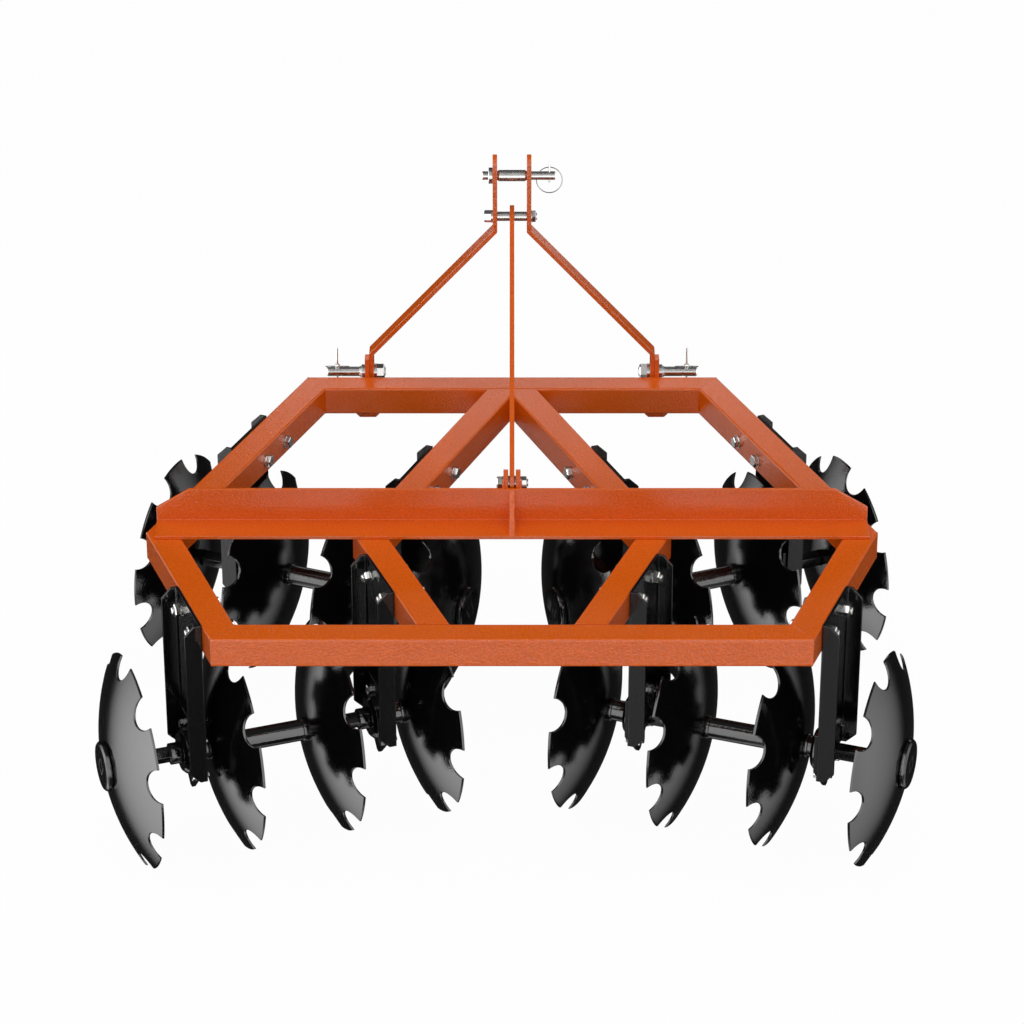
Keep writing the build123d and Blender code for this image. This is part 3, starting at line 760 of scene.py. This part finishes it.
lower_nuts = [
    ((MIDDLE_X - LOWER_NUT_SEAT, HITCH_Y, LOWER_PIN_Z), RIGHT),
    ((MIDDLE_X + LOWER_NUT_SEAT, HITCH_Y, LOWER_PIN_Z), LEFT),
]
fasten("mast_bolt_head", mast_head, hexagon(24, 15, 14, 4, seed=2))
fasten("mast_bolt_nut", mast_nut, hexagon(24, 9, 13, 1.5, seed=2))
fasten("brace_bolt_head", brace_head, hexagon(24, 11.5, 14, 3, seed=4))
fasten("brace_bolt_nut", brace_nut, hexagon(24, 10.5, 14, 3, seed=4))
fasten("lower_pin_nuts", lower_nuts, hexagon(30, 17, 18, 7, 10, 1, seed=6))


# Standards: 6 mm plate folded to a channel with its corners sheared off, in satin black enamel.
# Each hangs on the two bolts through its frame tube.
def satin_black():
    """Satin black enamel over hot-rolled plate: dark, with the faint pebble of a brushed-out coat."""
    pebble_size = 5.0 * MM
    cloud_size = 60.0 * MM
    material, tree = new_material("satin_black_enamel")
    place = add_node(tree, "ShaderNodeTexCoord").outputs["Object"]
    pebble = add_node(
        tree,
        "ShaderNodeTexNoise",
        {"Vector": place, "Scale": 1 / pebble_size, "Detail": 2.0},
    )
    cloud = add_node(
        tree,
        "ShaderNodeTexNoise",
        {"Vector": place, "Scale": 1 / cloud_size, "Detail": 2.0},
    )
    colour = add_node(
        tree,
        "ShaderNodeMix",
        {"Factor": cloud.outputs["Fac"], "A": linear("#0b0b0c"), "B": linear("#111112")},
        data_type="RGBA",
    )
    gloss = add_node(
        tree,
        "ShaderNodeMapRange",
        {"Value": pebble.outputs["Fac"], "To Min": 0.08, "To Max": 0.14},
    )
    bump = add_node(
        tree,
        "ShaderNodeBump",
        {"Height": pebble.outputs["Fac"], "Strength": 0.5, "Distance": 0.35 * MM},
    )
    shader = add_node(
        tree,
        "ShaderNodeBsdfPrincipled",
        {
            "Base Color": colour.outputs["Result"],
            "Roughness": gloss.outputs["Result"],
            "Normal": bump.outputs["Normal"],
        },
    )
    add_node(tree, "ShaderNodeOutputMaterial", {"Surface": shader.outputs["BSDF"]})
    return material


FOLD_RADIUS = 3.0 * MM
FOLD_LENGTH = 345.0 * MM
SHEARED_EDGE = 0.7 * MM
SATIN_BLACK = satin_black()
for name in GANG_NAMES:
    rounded_copy(
        "standards_" + name,
        SATIN_BLACK,
        "black_satin_paint",
        FOLD_RADIUS,
        SHEARED_EDGE,
        FOLD_LENGTH,
    )


# Bearings: cast housings on shield-shaped plates, each on four bolts at its standard's foot.
# They are painted with the standards, and a journal of the gang runs in each.
for name in GANG_NAMES:
    rounded_copy("bearings_" + name, SATIN_BLACK, "black_satin_paint", SHEARED_EDGE)


# Discs: notched blades pressed from 5 mm boron steel and dipped in gloss black enamel.
# Each is a shallow spherical dish with a flat centre and nine round notches in its rim.
DISC_RADIUS = 225.0 * MM
DISC_THICKNESS = 5.0 * MM
DISH_DEPTH = 56.0 * MM
DISH_RADIUS = 480.0 * MM
DISC_FLAT_RADIUS = 40.0 * MM
DISC_BORE_RADIUS = 19.0 * MM
DISC_PITCH = 213.0 * MM
DISC_COUNT = 4
NOTCH_COUNT = 9
NOTCH_RADIUS = 35.0 * MM
NOTCH_CENTRE_RADIUS = 222.5 * MM
NOTCH_STEPS = 18
TOOTH_STEPS = 12
DISH_RINGS = 16
DISC_EDGE = 1.2 * MM
# Pitches that the first disc stands outside the first standard, the square axle's turn in degrees,
# and each disc's quarter turns on it
OVERHANG = {"front_left": 0.597, "front_right": 0.585, "rear_left": 0.892, "rear_right": 0.775}
AXLE_TURN = {"front_left": 24.3, "front_right": 14.2, "rear_left": 34.2, "rear_right": 7.0}
QUARTER_TURNS = {
    "front_left": (0, 0, 3, 1),
    "front_right": (0, 0, 0, 2),
    "rear_left": (0, 2, 2, 2),
    "rear_right": (0, 2, 2, 2),
}


def gloss_black():
    """Gloss black enamel from a dip tank: deep black, with long soft waves and a fine grain in it."""
    wave_length = 45.0 * MM
    grain_size = 4.0 * MM
    material, tree = new_material("gloss_black_enamel")
    place = add_node(tree, "ShaderNodeTexCoord").outputs["Object"]
    wave = add_node(
        tree,
        "ShaderNodeTexNoise",
        {"Vector": place, "Scale": 1 / wave_length, "Detail": 3.0},
    )
    grain = add_node(
        tree,
        "ShaderNodeTexNoise",
        {"Vector": place, "Scale": 1 / grain_size, "Detail": 2.0},
    )
    gloss = add_node(
        tree,
        "ShaderNodeMapRange",
        {"Value": wave.outputs["Fac"], "To Min": 0.08, "To Max": 0.13},
    )
    soft = add_node(
        tree,
        "ShaderNodeBump",
        {"Height": wave.outputs["Fac"], "Strength": 0.2, "Distance": 0.8 * MM},
    )
    fine = add_node(
        tree,
        "ShaderNodeBump",
        {
            "Height": grain.outputs["Fac"],
            "Strength": 1.0,
            "Distance": 0.25 * MM,
            "Normal": soft.outputs["Normal"],
        },
    )
    shader = add_node(
        tree,
        "ShaderNodeBsdfPrincipled",
        {
            "Base Color": linear("#0a0a0b"),
            "Roughness": gloss.outputs["Result"],
            "Normal": fine.outputs["Normal"],
        },
    )
    add_node(tree, "ShaderNodeOutputMaterial", {"Surface": shader.outputs["BSDF"]})
    return material


def hubs(name):
    """Where a gang's discs sit along its axle, from its first standard."""
    return [DISC_PITCH * (index - OVERHANG[name]) for index in range(DISC_COUNT)]


def dish_offset(radius, arc_radius):
    """How far a dished face lies back from its flat centre at a distance from the axis."""
    chord = Vector((DISH_DEPTH, DISC_RADIUS - DISC_FLAT_RADIUS))
    away = math.sqrt(arc_radius**2 - (chord.length / 2) ** 2)
    middle_back = DISH_DEPTH / 2 + away * chord.y / chord.length
    middle_out = (DISC_RADIUS + DISC_FLAT_RADIUS) / 2 - away * chord.x / chord.length
    if radius <= DISC_FLAT_RADIUS:
        return 0.0
    return middle_back - math.sqrt(arc_radius**2 - (radius - middle_out) ** 2)


def blade_outline(inset):
    """Points of the notched rim about the axis, an inset in from the edge."""
    points = []
    rim = DISC_RADIUS - inset
    reach = NOTCH_RADIUS + inset
    centre = NOTCH_CENTRE_RADIUS
    notch_end = math.acos((reach**2 + centre**2 - rim**2) / (2 * reach * centre))
    corner = math.acos((rim**2 + centre**2 - reach**2) / (2 * rim * centre))
    tooth = 2 * math.pi / NOTCH_COUNT - 2 * corner
    for notch in range(NOTCH_COUNT):
        turn = Matrix.Rotation(2 * math.pi * notch / NOTCH_COUNT, 2)
        for step in range(NOTCH_STEPS + 1):
            angle = notch_end * (2 * step / NOTCH_STEPS - 1)
            points.append(turn @ Vector((centre - reach * math.cos(angle), reach * math.sin(angle))))
        for step in range(1, TOOTH_STEPS):
            angle = corner + tooth * step / TOOTH_STEPS
            points.append(turn @ Vector((rim * math.cos(angle), rim * math.sin(angle))))
    return points


def blade(shape, matrix, phase, back):
    """One disc in a gang's frame: back is +1 where it is dished towards +X."""
    turn = Matrix.Rotation(phase + math.pi / 2, 2)
    rim = [turn @ point for point in blade_outline(0)]
    inner = [turn @ point for point in blade_outline(DISC_EDGE)]
    loops = []

    def ring(points, offsets):
        spots = [Vector((back * x, y, z)) for x, (y, z) in zip(offsets, points)]
        loops.append([shape.verts.new(matrix @ spot) for spot in spots])

    def face_rings(start, arc_radius, outwards):
        levels = range(DISH_RINGS + 1)
        for level in levels if outwards else reversed(levels):
            share = level / DISH_RINGS
            points = []
            offsets = []
            for point in inner:
                radius = DISC_FLAT_RADIUS + (point.length - DISC_FLAT_RADIUS) * share
                points.append(point.normalized() * radius)
                offsets.append(start + dish_offset(radius, arc_radius))
            ring(points, offsets)

    bore = [point.normalized() * DISC_BORE_RADIUS for point in inner]
    ring(bore, [0.0] * len(bore))
    face_rings(0.0, DISH_RADIUS, True)
    ring(rim, [dish_offset(point.length, DISH_RADIUS) + DISC_EDGE for point in rim])
    ring(rim, [dish_offset(point.length, DISH_RADIUS) + DISC_THICKNESS - DISC_EDGE for point in rim])
    face_rings(DISC_THICKNESS, DISH_RADIUS - DISC_THICKNESS, False)
    ring(bore, [DISC_THICKNESS] * len(bore))
    skin(shape, loops, closed=True)


GLOSS_BLACK = gloss_black()
for name in GANG_NAMES:
    shape = bmesh.new()
    matrix = gang_matrix(name)
    back = -1 if name.startswith("front") else 1
    for hub, turns in zip(hubs(name), QUARTER_TURNS[name]):
        phase = math.radians(AXLE_TURN[name] + 90 * turns)
        blade(shape, matrix @ Matrix.Translation((hub, 0, 0)), phase, back)
    bmesh.ops.recalc_face_normals(shape, faces=shape.faces)
    piece = join_mesh("discs_" + name + "_enamelled", shape, GLOSS_BLACK)
    piece.data.set_sharp_from_angle(angle=SHARP_ANGLE)
    finish_piece(piece, "gang_" + name, "black_gloss_paint", "discs_" + name)


# Axles, spools, journals and end caps: a square bar through each gang, and the turned pieces
# threaded on it between the discs, painted gloss black with them.
for name in GANG_NAMES:
    for part in ("axle_", "spools_", "end_caps_"):
        piece = join_mesh(part + name + "_finished", merged_copy(part + name, False), GLOSS_BLACK)
        round_edges(piece, CUT_EDGE, turned=True)
        finish_piece(piece, "gang_" + name, "black_gloss_paint", part + name)


# Studio: a white floor that runs out of sight, in a tent of white cloth with dark gaps ahead.
# The lamps light the coats, and the tent's windows are what the glossy faces mirror.
FLOOR_HALF = 60.0
FLOOR_GLOW = 0.97
WORLD_FILL = 0.3
CAMERA_PLACE = (0.0117, -7.2055, 4.339)
CAMERA_PITCH = math.radians(62.27)
LENS = 134.8
# Each lamp: name, where it stands, what it faces, its two sides in metres, its radiance, and
# whether it is a lamp for the coats or a panel that only the gloss shows
LAMPS = [
    ("behind", (0.0, -4.8, 2.84), (0.0, 0.0, 0.4), (6.4, 3.75), 1.75, False),
    ("overhead", (0.0, 0.6, 8.0), (0.0, 0.0, 0.4), (9.0, 6.0), 1.68, False),
    ("left", (-9.0, 1.0, 4.0), (0.0, 0.0, 0.4), (7.0, 6.0), 1.4, False),
    ("right", (9.0, 1.0, 4.0), (0.0, 0.0, 0.4), (7.0, 6.0), 1.0, False),
    ("ahead", (0.75, 2.0, 1.05), (0.75, 0.0, 1.05), (3.0, 0.4), 1.45, True),
]
# The radiance of the tent's dark gaps
TENT_GAP = 0.02
# Each window of the tent: its radiance, and the pairs of values between which it fades in. The
# bearing is in degrees from straight ahead to either side, the height and the side are parts of 1.
SIDE_HEIGHTS = [(-1.4, -0.2), (0.7, 0.5)]
WALL_TOP = (0.3, 0.26)
ON_LEFT = [(0.05, -0.05)]
ON_RIGHT = [(-0.05, 0.05)]
WINDOWS = {
    "left": (6.0, {"bearing": [(44, 92), (143, 100)], "height": SIDE_HEIGHTS, "side": ON_LEFT}),
    "right": (2.5, {"bearing": [(47, 84), (143, 100)], "height": SIDE_HEIGHTS, "side": ON_RIGHT}),
    "rear corners": (
        3.5,
        {"bearing": [(115, 135), (172, 158)], "height": [(-0.44, -0.36), (0.97, 0.9)]},
    ),
    "left rear": (
        0.4,
        {"bearing": [(134, 142), (160, 152)], "height": [(-0.62, -0.54)], "side": ON_LEFT},
    ),
    "behind": (1.1, {"bearing": [(150, 160), (174, 166)], "height": [(-0.9, -0.7), WALL_TOP]}),
    "back wall": (1.85, {"bearing": [(164, 171)], "height": [(-0.53, -0.47), WALL_TOP]}),
    "horizon": (0.5, {"bearing": [(140, 165)], "height": [(-0.28, -0.2), WALL_TOP]}),
    "above": (0.6, {"bearing": [(120, 140)], "height": [(0.26, 0.3), (0.78, 0.66)]}),
    "overhead": (0.15, {"height": [(0.66, 0.78)]}),
}


def gloss_ray(tree):
    """1 for what is seen in a reflection or through glass."""
    rays = add_node(tree, "ShaderNodeLightPath")
    return add_node(
        tree,
        "ShaderNodeMath",
        {0: rays.outputs["Is Glossy Ray"], 1: rays.outputs["Is Transmission Ray"]},
        operation="ADD",
        use_clamp=True,
    ).outputs[0]


def white_floor():
    """White studio floor: it glows for the eye, keeps the shadow, and lets the gloss see the tent."""
    material, tree = new_material("white_floor")
    rays = add_node(tree, "ShaderNodeLightPath")
    plain = add_node(tree, "ShaderNodeBsdfDiffuse", {"Color": linear("#e6e6e6")})
    glow = add_node(tree, "ShaderNodeEmission", {"Color": linear("#ffffff"), "Strength": 1.0})
    share = add_node(
        tree,
        "ShaderNodeMath",
        {0: rays.outputs["Is Camera Ray"], 1: FLOOR_GLOW},
        operation="MULTIPLY",
    )
    seen = add_node(
        tree,
        "ShaderNodeMixShader",
        {"Fac": share.outputs[0], 1: plain.outputs["BSDF"], 2: glow.outputs["Emission"]},
    )
    clear = add_node(tree, "ShaderNodeBsdfTransparent")
    both = add_node(
        tree,
        "ShaderNodeMixShader",
        {"Fac": gloss_ray(tree), 1: seen.outputs["Shader"], 2: clear.outputs["BSDF"]},
    )
    add_node(tree, "ShaderNodeOutputMaterial", {"Surface": both.outputs["Shader"]})
    return material


def tent(tree):
    """The radiance of the tent's windows in each direction."""
    along = add_node(
        tree,
        "ShaderNodeSeparateXYZ",
        {"Vector": add_node(tree, "ShaderNodeTexCoord").outputs["Generated"]},
    )
    aside = add_node(tree, "ShaderNodeMath", {0: along.outputs["X"]}, operation="ABSOLUTE")
    turn = add_node(
        tree,
        "ShaderNodeMath",
        {0: aside.outputs[0], 1: along.outputs["Y"]},
        operation="ARCTAN2",
    )
    degrees = add_node(tree, "ShaderNodeMath", {0: turn.outputs[0]}, operation="DEGREES")
    parts = {"bearing": degrees.outputs[0], "height": along.outputs["Z"], "side": along.outputs["X"]}
    total = TENT_GAP
    for radiance, fades in WINDOWS.values():
        window = radiance
        for part, start, end in [(part, *limits) for part in fades for limits in fades[part]]:
            fade = add_node(
                tree,
                "ShaderNodeMapRange",
                {"Value": parts[part], "From Min": start, "From Max": end},
            )
            window = add_node(
                tree,
                "ShaderNodeMath",
                {0: fade.outputs["Result"], 1: window},
                operation="MULTIPLY",
            ).outputs[0]
        total = add_node(tree, "ShaderNodeMath", {0: window, 1: total}, operation="ADD").outputs[0]
    return total


shape = bmesh.new()
corners = [(-1, -1), (1, -1), (1, 1), (-1, 1)]
shape.faces.new([shape.verts.new((x * FLOOR_HALF, y * FLOOR_HALF, 0.0)) for x, y in corners])
join_mesh("floor", shape, white_floor())

world = bpy.data.worlds.new("studio")
bpy.context.scene.world = world
world.use_nodes = True
world.cycles.sampling_method = "NONE"
tree = world.node_tree
tree.nodes.clear()
dim = add_node(tree, "ShaderNodeBackground", {"Color": linear("#ffffff"), "Strength": WORLD_FILL})
white = add_node(tree, "ShaderNodeBackground", {"Color": linear("#ffffff"), "Strength": 1.0})
windows = add_node(tree, "ShaderNodeBackground", {"Color": linear("#ffffff"), "Strength": tent(tree)})
rays = add_node(tree, "ShaderNodeLightPath")
plain = add_node(
    tree,
    "ShaderNodeMixShader",
    {"Fac": rays.outputs["Is Camera Ray"], 1: dim.outputs[0], 2: white.outputs[0]},
)
sky = add_node(
    tree,
    "ShaderNodeMixShader",
    {"Fac": gloss_ray(tree), 1: plain.outputs[0], 2: windows.outputs[0]},
)
add_node(tree, "ShaderNodeOutputWorld", {"Surface": sky.outputs[0]})

for name, place, target, sides, radiance, gloss_only in LAMPS:
    light = bpy.data.lights.new("lamp_" + name, "AREA")
    light.shape = "RECTANGLE"
    light.size, light.size_y = sides
    light.energy = radiance * math.pi * sides[0] * sides[1]
    lamp = bpy.data.objects.new("lamp_" + name, light)
    lamp.location = place
    lamp.rotation_euler = (Vector(target) - Vector(place)).to_track_quat("-Z", "Y").to_euler()
    lamp.visible_camera = False
    lamp.visible_glossy = gloss_only
    lamp.visible_diffuse = not gloss_only
    bpy.context.scene.collection.objects.link(lamp)

camera = bpy.data.objects.new("camera", bpy.data.cameras.new("camera"))
camera.data.lens = LENS
camera.data.sensor_width = 36.0
camera.data.clip_end = 200.0
camera.location = CAMERA_PLACE
camera.rotation_euler = (CAMERA_PITCH, 0.0, 0.0)
bpy.context.scene.collection.objects.link(camera)
bpy.context.scene.camera = camera
bpy.context.scene.view_settings.view_transform = "Standard"

bpy.context.view_layer.update()
